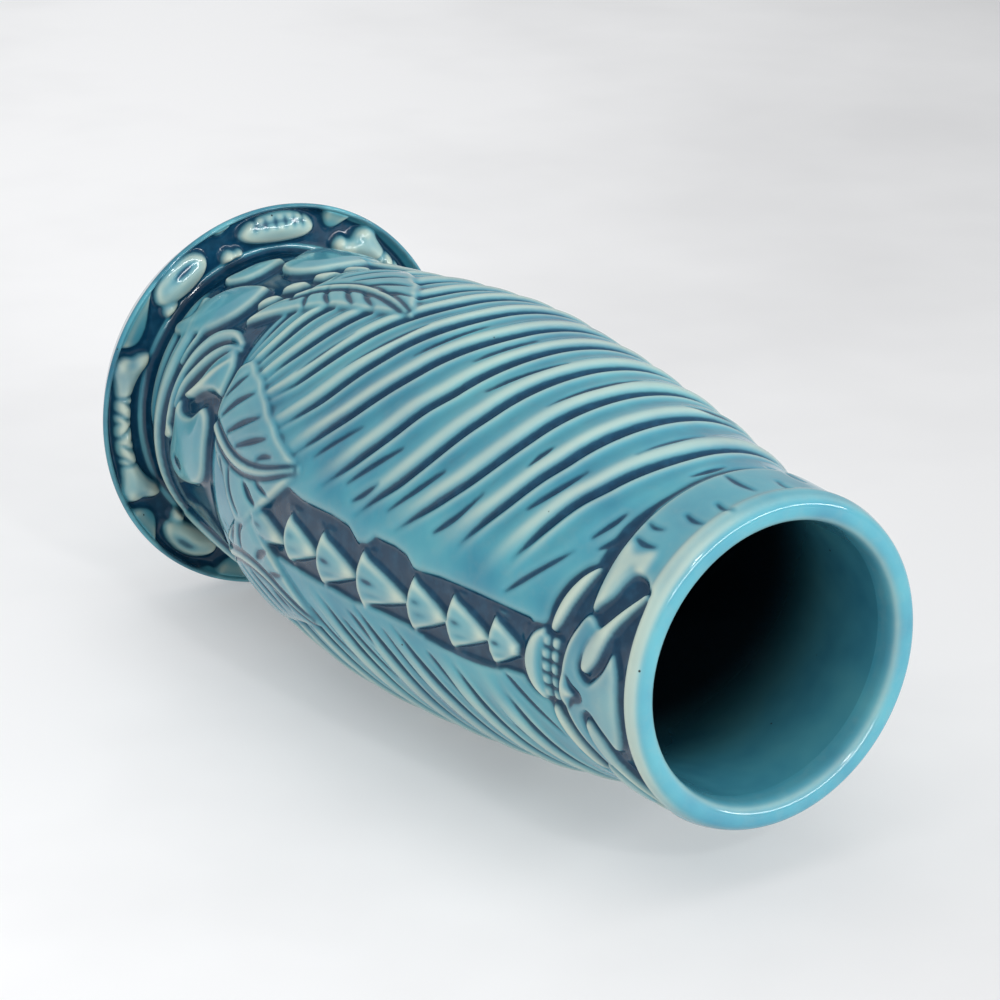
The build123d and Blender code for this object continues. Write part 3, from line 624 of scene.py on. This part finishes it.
# (angle, mirrored)
for at, flip in ((-50, False), (52, True), (-168, False), (166, True)):
    lump(PETAL, -50, at, 0.7, 0.8, flip)
for at, flip in ((-73, False), (75, True), (132, True), (-136, False)):
    lump(SMALL_PETAL, -73, at, 0.6, 0.6, flip)
for at, flip in ((-96, False), (98, True), (-140, False), (142, True)):
    place = lump(BIG_BODY, -96, at, 0.8, 0.9, flip, reach=24.0)
    place.cut(place.stroke([(-98, 15.6, 1), (-97.6, 15.8, 1)], -96), 0.4, 0.5, 0.8)

for line in RIDGES:
    ridge(line, -15, 0.75, 0.2)
    ridge([(a, z + 0.3, w * 0.35) for a, z, w in line], -15, 1.0, 0.4)
lump(HORN, -30, -30, 0.75, 0.5)
ridge(HORN_CREST, -30, 1.35, 0.85)
place = lump(HEAD, -3, -3, 0.6, 0.8, per=5)
place.cut(place.stroke(BIRD_EYE, -3), 0.25, 1.3, 0.8)
lump(CREST_TIP, -3, -3, 0.6, 0.4, pale=0.8)

# (angle, mirrored, raised by)
for at, flip, rise in ((-73, False, 0.0), (75, True, 0.0), (-124, False, -1.5), (126, True, -1.0)):
    leaf(LEAF_SIDE, LEAF_SIDE_RIB, LEAF_SIDE_VEINS, -73, at, flip, rise)
for at, flip, rise in ((177, False, -3.0), (23, True, 3.4), (-17, False, 0.0)):
    leaf(LEAF_FRONT, LEAF_FRONT_RIB, LEAF_FRONT_VEINS, -17, at, flip, rise)
for bud in BUDS:
    middle = sum(p[0] for p in bud) / len(bud)
    for at, flip in ((-75, False), (77, True), (-126, False), (128, True)):
        at += (middle + 75) * (-1 if flip else 1)
        lump(bud, middle, at, 0.9, 0.35, flip, pale=0.35, reach=7.0)

# ---- ornaments in the channel of the base ring
on_bead = ROW <= bead_row + 3
POOL_AND_SHADE = np.maximum(POOL_AND_SHADE, smooth(36.5 - RADIUS, 0.0, 0.9) * (in_channel & ~on_bead))
# The bead's glaze gets a fixed dark share that is larger low on its outer flank: partly the bead's own darker
# teal, partly painted shade on the flank that faces away from the light
POOL_AND_SHADE = np.where(on_bead, 0.5 - 0.12 * smooth(HEIGHT, 3.0, 7.5), POOL_AND_SHADE)
PALE = np.where(on_bead, 0.6 * bell(RADIUS, 37.1, 0.35) * smooth(HEIGHT, 7.2, 7.9), PALE)


def channel_lump(d, place, top, dome, reach, pale):
    """Raises a domed ornament from the floor of the channel."""
    k = smooth(-d, -0.35, 0.35)
    height = top + dome * np.sqrt(np.clip(-d, 0, reach) / reach)
    place.at_least(CHANNEL, height * k)
    place.blend(POOL_AND_SHADE, 0, k)
    place.blend(PALE, pale, k)


def channel_cut(d, place, depth, soft, pool):
    """Carves a line into an ornament."""
    k = smooth(-d, -soft * 0.5, soft * 0.5)
    place.put(CHANNEL, np.maximum(place.get(CHANNEL) - depth * k, 0.0))
    place.at_least(POOL_AND_SHADE, pool * k)
    place.blend(PALE, 0, k)


def cowrie(angle, radius, half_long, half_wide, turn, teeth=True):
    """An oval shell with a toothed slit."""
    place = Place(angle, radius, 14, channel=True)
    c, s = math.cos(turn), math.sin(turn)
    x, y = place.X * c + (place.Y - radius) * s, -place.X * s + (place.Y - radius) * c
    d = (np.hypot(x / half_long, y / half_wide) - 1) * half_wide
    channel_lump(d, place, 0.9, 2.4, half_wide, 0.3)
    hollow = bell(y, 0.9, 1.1) * smooth(half_long * 0.85 - np.abs(x), 0.0, 2.0)
    place.add(CHANNEL, -(0.1 if teeth else 0.35) * hollow)
    around = smooth(2.0 - np.abs(d - 0.4), 0.0, 1.2) * smooth(d, -0.3, 0.3) * (place.r < 37.2)
    place.at_least(POOL_AND_SHADE, 0.85 * around)
    place.blend(PALE, 0, around)
    if teeth:
        slit = np.maximum(np.abs(x) - half_long * 0.68, np.abs(y - 1.3 + 0.012 * x * x) - 0.38)
        for n in range(6):
            mid = (n - 2.5) * half_long * 0.25
            slit = np.minimum(slit, np.maximum(np.abs(x - mid) - 0.38, np.abs(y - 1.2) - 1.25))
        channel_cut(slit, place, 0.1, 0.5, 1.0)
    else:
        slit = np.hypot((x + 1.0) / 2.8, y - 1.1) - 1.05
        channel_cut(slit, place, 0.1, 1.3, 0.85)


def bone(angle, flip=False):
    """A bone with flared ends and a diagonal cord wound round its middle."""
    radius = 33.3
    place = Place(angle, radius, 22, channel=True, flip=flip)
    x, y = place.X, place.Y - radius
    half = 1.8 + 1.4 * smooth(np.abs(x), 6.0, 13.5)
    shaft = np.maximum(np.abs(y) - half, np.abs(x) - 14.4)
    lobes = np.hypot(np.abs(x) - 13.0, np.abs(y) - 1.7) - 2.0
    d = np.minimum(shaft, lobes) - 0.35 * np.exp(-np.abs(shaft - lobes) * 1.6)
    channel_lump(d, place, 0.9, 1.9, 2.2, 0.12)
    wound = smooth(6.6 - np.abs(x), 0.0, 0.5)
    cord = np.abs(((x + 0.75 * y * np.where(np.abs(x) < 2.2, -1, 1)) / 3.0) % 1.0 - 0.5)
    groove = smooth(cord, 0.32, 0.44) * wound * smooth(-d, 0.0, 0.3)
    place.add(CHANNEL, 0.4 * wound * smooth(-d, 0, 0.4) - 0.8 * groove)
    place.at_least(POOL_AND_SHADE, 0.95 * groove)
    ends = smooth(0.35 - np.abs(np.abs(x) - 6.8), 0, 0.3) * smooth(-d, -0.2, 0.3)
    place.put(CHANNEL, np.maximum(place.get(CHANNEL) - 0.7 * ends, 0.0))
    place.at_least(POOL_AND_SHADE, 0.9 * ends)


def tongue(angle, wide, deep, lean):
    """A tongue of the bead that reaches into the channel."""
    place = Place(angle, 34.5, 12, channel=True)
    y = 36.6 - place.Y
    half = wide * np.sqrt(np.clip(1 - (y / deep), 0, 1.4))
    d = np.maximum(np.abs(place.X - lean * y) - half, y - deep)
    k = smooth(-d, -0.5, 0.5)
    slope = 0.35 + 2.0 * np.clip(1 - y / deep, 0, 1) ** 1.3
    place.at_least(CHANNEL, slope * k)
    place.put(POOL_AND_SHADE, place.get(POOL_AND_SHADE) * (1 - k) + 0.2 * k * smooth(y, 0.0, 1.0))


cowrie(-91.5, 33.4, 8.3, 3.3, 0.0)
cowrie(-52.6, 33.4, 6.6, 3.8, 0.06, teeth=False)
cowrie(52.5, 32.8, 6.8, 3.0, -0.05, teeth=False)
cowrie(92.0, 33.2, 8.0, 3.2, 0.0)
bone(2.5)
bone(146)
bone(-146, True)
# (angle, half width, depth, lean)
TONGUES = [(-34, 6.2, 4.3, 0.5), (-112, 3, 3, 0), (-72, 2, 1.6, 0), (35, 4.2, 3.4, 0), (72, 3.6, 3.4, 0.2),
           (113, 3.2, 3.2, 0), (180, 4.4, 3.8, 0)]
for row in TONGUES:
    tongue(*row)
# (angle, distance from the mug's axis, radius)
KNOBS = [(-43.2, 30.2, 1.9), (-71.5, 30.2, 1.6), (-75.5, 29.9, 1.2), (43, 30.2, 1.7), (118, 31, 1.8),
         (-118.5, 31.2, 1.8), (172, 30.4, 1.5)]
for angle, radius, size in KNOBS:
    place = Place(angle, radius, 6, channel=True)
    d = np.hypot(place.X, place.Y - radius) - size
    channel_lump(d, place, 0.7, 1.5, size, 0.15)


# ---- hand-made unevenness, then the glaze
def waves(scale_angle, scale_row, count, seed):
    """Soft seamless unevenness over the grid, about -1 to 1."""
    r = np.random.default_rng(seed)
    out = np.zeros((ROWS, COLS))
    for _ in range(count):
        ka = int(r.integers(1, scale_angle))
        kr = r.uniform(0.3, 1.0) * scale_row
        phase = r.uniform(0, 2 * math.pi, 2)
        bend = 0.6 * np.sin(row_s[ROW] * kr * 0.7)
        out += np.cos(np.radians(TURN) * ka + phase[0] + bend) * np.cos(row_s[ROW] * kr + phase[1])
    return out / math.sqrt(count)


RELIEF += 0.05 * waves(9, 0.12, 7, 3) * smooth(row_s[ROW], 6, 12)
RELIEF *= smooth(row_s[-1] - row_s[ROW], 0.5, 3.0)


def blur(field, sigma):
    """Gaussian blur, seamless round the mug and mirrored at the ends. Sigma is in grid steps."""
    reach = int(3 * sigma) + 1
    kernel = np.exp(-0.5 * (np.arange(-reach, reach + 1) / sigma) ** 2)
    kernel /= kernel.sum()
    wide = np.concatenate([field[:, -reach:], field, field[:, :reach]], 1)
    out = sum(w * wide[:, i:i + COLS] for i, w in enumerate(kernel))
    tall = np.concatenate([out[reach:0:-1], out, out[-2:-reach - 2:-1]], 0)
    return sum(w * tall[i:i + ROWS] for i, w in enumerate(kernel))


RELIEF = blur(RELIEF, 1.15)
CHANNEL = blur(CHANNEL, 1.0)
relief = RELIEF + np.maximum(CHANNEL - np.maximum(HEIGHT - FLOOR_LEVEL, 0.0), 0.0) * in_channel
hollow_fine = blur(relief, 1.8) - relief
hollow_wide = blur(relief, 6.0) - relief
dark = np.clip(1.15 * POOL_AND_SHADE + 1.5 * hollow_fine + 0.45 * hollow_wide - 0.1, 0, 1)
pale = np.clip(0.85 * PALE - 2.2 * hollow_fine - 0.3 * hollow_wide, 0, 1)
dark = blur(dark, 1.0)
pale = blur(pale, 0.9) * (1 - dark)


# ---- materials
class Material:
    """A node material, built by calls that take numbers, colours or other nodes' outputs."""

    def __init__(self, name):
        self.data = bpy.data.materials.new(name)
        self.data.use_nodes = True
        self.tree = self.data.node_tree
        self.tree.nodes.clear()
        self.where = self.add("TexCoord").outputs["Object"]

    def set(self, socket, value):
        if isinstance(value, bpy.types.NodeSocket):
            self.tree.links.new(value, socket)
        else:
            socket.default_value = value

    def add(self, kind, *inputs, **named):
        """A node. Inputs fill its sockets in order, and a name such as From_Min fills the socket From Min."""
        n = self.tree.nodes.new("ShaderNode" + kind)
        for name, value in named.items():
            socket = name.replace("_", " ")
            if socket in n.inputs:
                self.set(n.inputs[socket], value)
            else:
                setattr(n, name, value)
        for socket, value in zip(n.inputs, inputs):
            self.set(socket, value)
        return n

    def math(self, operation, *inputs, clamp=False):
        return self.add("Math", *inputs, operation=operation, use_clamp=clamp).outputs[0]

    def mix(self, factor, a, b):
        return self.add("Mix", data_type="RGBA", Factor=factor, A=a, B=b).outputs["Result"]

    def noise(self, scale, detail, roughness):
        return self.add("TexNoise", Vector=self.where, Scale=scale, Detail=detail,
                        Roughness=roughness).outputs["Fac"]

    def field(self, name):
        return self.add("Attribute", attribute_name=name).outputs["Fac"]

    def span(self, value, low, high, to_low=0.0, to_high=1.0, curve="LINEAR"):
        return self.add("MapRange", interpolation_type=curve, Value=value, From_Min=low, From_Max=high,
                        To_Min=to_low, To_Max=to_high).outputs[0]

    def ramp(self, value, *stops):
        n = self.add("ValToRGB", value)
        elements = n.color_ramp.elements
        while len(elements) < len(stops):
            elements.new(0.5)
        for element, (position, colour) in zip(elements, stops):
            element.position = position
            element.color = (*colour, 1.0)
        return n.outputs["Color"]

    def bump(self, height, strength, distance):
        return self.add("Bump", Strength=strength, Distance=distance, Height=height).outputs[0]

    def finish(self, surface):
        self.add("OutputMaterial", surface.outputs[0])
        return self.data


def srgb(*values):
    """The linear colour of a screen colour from 0 to 255."""
    shares = [v / 255 for v in values]
    return tuple(c / 12.92 if c <= 0.04045 else ((c + 0.055) / 1.055) ** 2.4 for c in shares)


def grey(value):
    return (value, value, value)


NAVY = srgb(4, 46, 74)
NAVY_THIN = srgb(16, 64, 92)
DEEP = srgb(42, 114, 142)
TURQUOISE = srgb(72, 148, 166)
LIGHT = srgb(98, 172, 180)
CREAM = srgb(198, 208, 190)
INSIDE_SHADE = srgb(14, 24, 30)
SPECK = srgb(40, 52, 52)
CLAY = (srgb(188, 176, 158), srgb(214, 205, 190), srgb(228, 222, 210))
SHEET = ((0.56, 0.56, 0.563), (0.62, 0.62, 0.622))


def glaze(name, relief=True, deep=False):
    """Glossy ceramic glaze: dark where it pools, and where shade is painted on the base bead's outer flank;
    pale where it runs thin over an edge.
    """
    m = Material(name)
    clouds = m.noise(55.0, 3.0, 0.5)
    fine = m.noise(420.0, 2.0, 0.6)
    vary = m.math("MULTIPLY_ADD", clouds, 0.7, 0.16)
    colour = m.ramp(vary, (0.3, DEEP), (0.5, TURQUOISE), (0.75, LIGHT))
    if relief:
        rough_pale = m.math("MULTIPLY_ADD", fine, 0.3, -0.15, clamp=True)
        pale_sum = m.math("ADD", m.field("pale"), rough_pale, clamp=True)
        thin = m.ramp(pale_sum, (0.0, grey(0)), (0.35, grey(0.22)), (1.0, grey(0.85)))
        colour = m.mix(thin, colour, (*CREAM, 1))
        # dark: where the glaze pools, plus painted shade on the base bead's outer flank
        grain = m.math("MULTIPLY_ADD", fine, 0.25, m.field("dark"), clamp=True)
        level = m.math("SUBTRACT", grain, 0.125, clamp=True)
        pooled_and_shaded = m.ramp(level, (0.0, grey(0)), (0.3, grey(0.2)), (0.62, grey(0.9)), (1.0, grey(1)))
        colour = m.mix(pooled_and_shaded, colour, m.ramp(fine, (0.45, NAVY), (0.75, NAVY_THIN)))
    if deep:
        # painted shade: lower down in the mouth the colour turns to the dark inside shade, and it does so
        # sooner on the +Y side
        height = m.add("SeparateXYZ", m.where).outputs
        lean = m.math("MULTIPLY_ADD", height["Y"], -0.5, height["Z"])
        depth = m.span(lean, 0.16, 0.112, curve="SMOOTHSTEP")
        colour = m.mix(depth, colour, (*INSIDE_SHADE, 1))

    # tiny dark specks and pinholes
    cells = m.add("TexVoronoi", Vector=m.where, Scale=200.0, Randomness=1.0).outputs
    pick = m.add("SeparateColor", cells["Color"]).outputs[0]
    rare = m.math("GREATER_THAN", pick, 0.72)
    spot = m.span(cells["Distance"], 0.028, 0.05, 1.0, 0.0)
    speck = m.math("MULTIPLY", spot, rare)
    colour = m.mix(speck, colour, (*SPECK, 1))

    rough = m.span(clouds, 0.0, 1.0, 0.07, 0.16)
    peel = m.math("SUBTRACT", m.noise(260.0, 1.5, 0.4), speck)
    return m.finish(m.add("BsdfPrincipled", Base_Color=colour, Roughness=rough, IOR=1.5,
                          Specular_IOR_Level=0.4, Normal=m.bump(peel, 0.12, 0.0002)))


def bisque():
    """Unglazed fired clay of the foot."""
    m = Material("bare_clay_foot")
    noise = m.noise(180.0, 5.0, 0.65)
    tone = m.ramp(noise, *zip((0.3, 0.55, 0.75), CLAY))
    return m.finish(m.add("BsdfPrincipled", Base_Color=tone, Roughness=0.85,
                          Normal=m.bump(noise, 0.4, 0.0002)))


def pale_sheet():
    """The floor: it shines a little and glows with painted light that lifts the shadows on it, painted shade
    darkens it to the right, and it is clear from behind.
    """
    m = Material("pale_sheet")
    cloud = m.noise(7.0, 4.0, 0.55)
    tone = m.ramp(cloud, *zip((0.3, 0.6), SHEET))
    # painted shade: the sheet's colour darkens towards the right
    across = m.add("VectorMath", m.where, RIGHT, operation="DOT_PRODUCT").outputs["Value"]
    painted_right_shade = m.span(across, -0.1, 0.3, 1.0, 0.72, curve="SMOOTHSTEP")
    shade = m.add("VectorMath", tone, operation="SCALE", Scale=painted_right_shade).outputs[0]
    # the emission is painted light: the sheet glows, which lightens the mug's shadow on it
    sheet = m.add("BsdfPrincipled", Base_Color=shade, Emission_Color=shade, Emission_Strength=0.52,
                  Roughness=0.6, Normal=m.bump(cloud, 0.25, 0.003))
    clear = m.add("BsdfTransparent")
    behind = m.add("NewGeometry").outputs["Backfacing"]
    return m.finish(m.add("MixShader", behind, sheet.outputs[0], clear.outputs[0]))


glaze_relief = glaze("glaze_relief")
glaze_plain = glaze("glaze_plain", relief=False)
glaze_inside = glaze("glaze_inside", relief=False, deep=True)
bare_clay = bisque()

# ---- meshes
theta = np.radians(TURN)
radius = RADIUS + NORMAL_R[ROW] * RELIEF
level = HEIGHT + NORMAL_Z[ROW] * RELIEF
ornament = (ROW > bead_row - 3) & (ROW < wall_row + 8) & (CHANNEL > 0.01)
level = np.where(ornament, np.maximum(level, FLOOR_LEVEL + 0.05 + CHANNEL), level)
level[: bead_row // 2] = np.maximum(level[: bead_row // 2], 0.0)
OUTER = np.stack([radius * np.sin(theta), -radius * np.cos(theta), level], -1) * MM
d_angle = np.roll(OUTER, -1, 1) - np.roll(OUTER, 1, 1)
d_row = np.gradient(OUTER, axis=0)
NORMALS = np.cross(d_angle, d_row)
NORMALS /= np.linalg.norm(NORMALS, axis=-1)[..., None] + 1e-20


def add_object(name, data):
    item = bpy.data.objects.new(name, data)
    bpy.context.scene.collection.objects.link(item)
    return item


def grid_piece(name, points, normals, material, fields=(), flip=False):
    """A closed-round strip of the grid as a smooth mesh."""
    rows, cols = points.shape[:2]
    i = np.arange(rows - 1)[:, None] * cols
    j = np.arange(cols)[None, :]
    k = (j + 1) % cols
    quads = np.stack([i + j, i + k, i + cols + k, i + cols + j], -1).reshape(-1, 4)
    if flip:
        quads = quads[:, ::-1]
    mesh = bpy.data.meshes.new(name)
    mesh.vertices.add(rows * cols)
    mesh.vertices.foreach_set("co", points.reshape(-1).astype(np.float32))
    mesh.loops.add(quads.size)
    mesh.loops.foreach_set("vertex_index", quads.reshape(-1).astype(np.int32))
    mesh.polygons.add(len(quads))
    mesh.polygons.foreach_set("loop_start", np.arange(0, quads.size, 4, dtype=np.int32))
    mesh.update(calc_edges=True)
    mesh.polygons.foreach_set("use_smooth", np.ones(len(quads), bool))
    for label, field in fields:
        layer = mesh.attributes.new(label, "FLOAT", "POINT")
        layer.data.foreach_set("value", field.reshape(-1).astype(np.float32))
    if normals is not None:
        mesh.normals_split_custom_set_from_vertices(normals.reshape(-1, 3).astype(np.float32))
    mesh.materials.append(material)
    mesh.validate()
    return add_object(name, mesh)


def finish_piece(piece, nodes):
    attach(piece, "root")
    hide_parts(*nodes)


def row_at(z):
    """The row of the wall at this height."""
    return wall_row + int(np.argmin(np.abs(row_z[wall_row:lip_row] - z)))


# Heights where one piece of the outside ends and the next begins, then each piece's name, slot and CAD nodes
PIECE_BREAKS = (12.0, 41.0, 76.0, 112.0, 149.4)
PIECES = [
    ("base_ring_with_shells", "deep_relief_glaze",
     ["base_ring", "bead_tongues", "cowrie_shells", "bones", "bone_lashings"]),
    ("neck_with_petals", "pale_relief_glaze",
     ["petals", "bird_head", "bird_eye", "curled_crest", "crest_tip"]),
    ("leaf_collar", "pale_relief_glaze", ["front_leaves", "side_leaves", "back_leaves"]),
    ("carved_strands_lower", "turquoise_glaze", ["column_of_teeth"]),
    ("carved_strands_upper", "turquoise_glaze", ["lower_lip", "cheek_crescents", "mouth_teeth"]),
    ("head_mask_and_lip", "turquoise_glaze",
     ["mask_plate", "mask_eyes", "mask_brows", "mask_nose", "head_band", "rim_lip"]),
]
cuts = [0, *map(row_at, PIECE_BREAKS), ROWS - 1]
for (name, slot, nodes), low, high in zip(PIECES, cuts, cuts[1:]):
    part = slice(low, high + 1)
    fields = [("dark", dark[part]), ("pale", pale[part])]
    piece = grid_piece(name, OUTER[part], NORMALS[part], glaze_relief, fields)
    finish_piece(piece, nodes)

INSIDE_COLS = 240
GLAZE_START = 30.6  # the underside is glazed inside this radius


def lathe(points, per):
    """The radii of a turned profile, and its grid of vertices."""
    r, z = rounded(points, False, per).T
    around = np.radians(np.arange(INSIDE_COLS) * 360.0 / INSIDE_COLS)
    level = np.broadcast_to(z[:, None], (len(z), INSIDE_COLS))
    return r, np.stack([r[:, None] * np.sin(around), -r[:, None] * np.cos(around), level], -1) * MM


# Inside of the mug, from the lip down to the floor, as one glazed shell
inside_profile = [tuple(PROFILE[-1])]
inside_profile += [(float(spline(INSIDE, z)), z) for z in np.arange(157.0, 13.0, -2.0)]
inside_profile += [(24.4, 10.6), (23.6, 8.0), (22.0, 6.2), (20.0, 5.35), (17.0, 5.05),
                   (12.0, FLOOR_LEVEL), (7.0, FLOOR_LEVEL), (3.0, FLOOR_LEVEL), (0.02, FLOOR_LEVEL)]
radii, points = lathe(inside_profile, 2)
finish_piece(grid_piece("glazed_inside", points, None, glaze_inside), ["mug_wall"])

# Underside: bare clay foot ring round a shallow glazed hollow
UNDERSIDE = [(33.7, 0), (33.2, 0), (32.4, 0), (31.6, 0), (30.8, 0.15), (30.2, 0.6), (29.4, 0.9), (27, 1),
             (20, 1), (12, 1), (5, 1), (0.02, 1)]
radii, points = lathe(UNDERSIDE, 4)
foot = grid_piece("foot_underside", points, None, bare_clay, flip=True)
foot.data.materials.append(glaze_plain)
glazed = np.repeat((radii[:-1] + radii[1:]) / 2, INSIDE_COLS) < GLAZE_START
foot.data.polygons.foreach_set("material_index", glazed.astype(np.int32))
finish_piece(foot, ["base_disc"])


# ---- floor, lights and camera
def make_floor():
    """A pale sheet that the mug lies on."""
    floor_x = float(OUTER.reshape(-1, 3)[::3, 0].max()) + FLOOR_GAP
    middle = Vector((floor_x, 0.0, 0.0)) + AWAY * 0.35
    side = Vector((0.0, AWAY.z, -AWAY.y))
    corners = [middle + (side * a + AWAY * b) * SHEET_HALF for a, b in ((-1, -1), (1, -1), (1, 1), (-1, 1))]
    mesh = bpy.data.meshes.new("floor_sheet")
    mesh.from_pydata(corners, [], [(0, 1, 2, 3)])
    mesh.materials.append(pale_sheet())
    if mesh.polygons[0].normal.x > 0:
        mesh.flip_normals()
    add_object("floor_sheet", mesh)


def softbox(name, direction, distance, size, power, long_axis=None, glossy=True):
    """A rectangular lamp that points at the middle of the mug."""
    lamp = bpy.data.lights.new(name, "AREA")
    lamp.shape = "RECTANGLE"
    lamp.size, lamp.size_y = size
    lamp.energy = power
    box = add_object(name, lamp)
    back = direction.normalized()
    box.location = TARGET + back * distance
    box.rotation_mode = "QUATERNION"
    box.rotation_quaternion = (TARGET - box.location).to_track_quat("-Z", "Y")
    if long_axis is not None:
        across = (long_axis - back * long_axis.dot(back)).normalized()
        box.rotation_quaternion = Matrix((across, back.cross(across), back)).transposed().to_quaternion()
    box.visible_glossy = glossy


make_floor()

scene = bpy.context.scene
scene.view_settings.view_transform = "Standard"
scene.world = scene.world or bpy.data.worlds.new("studio")
scene.world.use_nodes = True
background = scene.world.node_tree.nodes["Background"].inputs
background["Color"].default_value = (0.95, 0.97, 1.0, 1)
background["Strength"].default_value = 0.5

softbox("ceiling_light", UP - RIGHT * 0.2, 1.1, (1.4, 1.3), 6.6, glossy=False)
softbox("window_strip", Vector((-0.27, 0.36, 0.88)), 1.0, (1.5, 0.07), 9.0, Vector((0.0, 1.0, -0.35)))
softbox("lamp_small", Vector((-0.55, -0.15, 0.85)), 1.1, (0.08, 0.08), 1.6)
softbox("front_fill", UP * 0.35 - AWAY * 1.0 - RIGHT * 0.15, 1.3, (1.4, 0.8), 3.6, glossy=False)

cam_data = bpy.data.cameras.new("camera")
cam_data.lens = LENS
cam_data.sensor_width = 36.0
cam_data.clip_start = 0.01
cam_data.clip_end = 20.0
camera = add_object("camera", cam_data)
turn = Matrix((RIGHT, -DOWN, -FORWARD)).transposed()
camera.matrix_world = Matrix.Translation(CAMERA) @ turn.to_4x4()
scene.camera = camera
